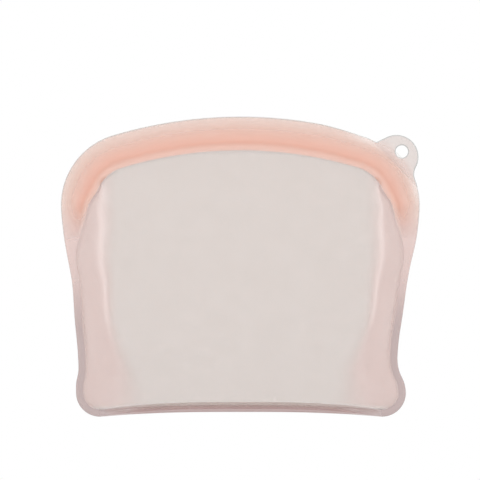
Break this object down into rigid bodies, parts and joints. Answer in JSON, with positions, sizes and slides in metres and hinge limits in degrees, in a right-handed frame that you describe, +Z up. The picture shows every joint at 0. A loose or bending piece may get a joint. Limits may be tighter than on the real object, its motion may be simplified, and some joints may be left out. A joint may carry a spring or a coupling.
{
  "type": "reusable silicone bag",
  "caption": "Stand-up clear silicone food bag with an arched, peach press-seal mouth, fused side seams, flat gusset base and a thin hang tab.",
  "frame": {"origin": "on the ground under the middle of the closed bag", "axes": "+X to the right seen from the front, front wall faces -Y, +Z up to the mouth"},
  "size_m": [0.226, 0.0598, 0.189],
  "materials": {
    "clear_silicone": "frosted clear, satin",
    "seam_silicone": "frosted clear with a pink cast, satin",
    "seal_silicone": "milky peach, satin",
    "lip_silicone": "pale milky peach, satin"
  },
  "bodies": {
    "bag_body": {"front_lower_wall": "clear_silicone", "rear_lower_wall": "clear_silicone", "base_panel": "clear_silicone", "front_base_seam": "seam_silicone", "rear_base_seam": "seam_silicone", "left_side_seam": "seam_silicone", "right_side_seam": "seam_silicone", "left_seal_end": "lip_silicone", "right_seal_end": "lip_silicone"},
    "front_flap": {"front_upper_wall": "clear_silicone", "front_seal_band": "seal_silicone", "front_grip_lip": "lip_silicone"},
    "rear_flap": {"rear_upper_wall": "clear_silicone", "rear_seal_band": "seal_silicone", "rear_grip_lip": "lip_silicone", "seal_rib": "seal_silicone"},
    "hang_tab": {"hang_tab": "lip_silicone"}
  },
  "joints": [
    {"name": "front_lip_open", "type": "hinge", "parent": "bag_body", "child": "front_flap", "pos_m": [0, -0.018, 0.12], "axis": [1, 0, 0], "range_deg": [0, 35], "stiffness_Nm_per_rad": 0.03},
    {"name": "rear_lip_open", "type": "hinge", "parent": "bag_body", "child": "rear_flap", "pos_m": [0, 0.018, 0.12], "axis": [-1, 0, 0], "range_deg": [0, 35], "stiffness_Nm_per_rad": 0.03},
    {"name": "hang_tab_flex", "type": "hinge", "parent": "front_flap", "child": "hang_tab", "pos_m": [0.09688, -0.00185, 0.16222], "axis": [0.6978, 0, -0.7163], "range_deg": [0, 60], "stiffness_Nm_per_rad": 0.004}
  ]
}
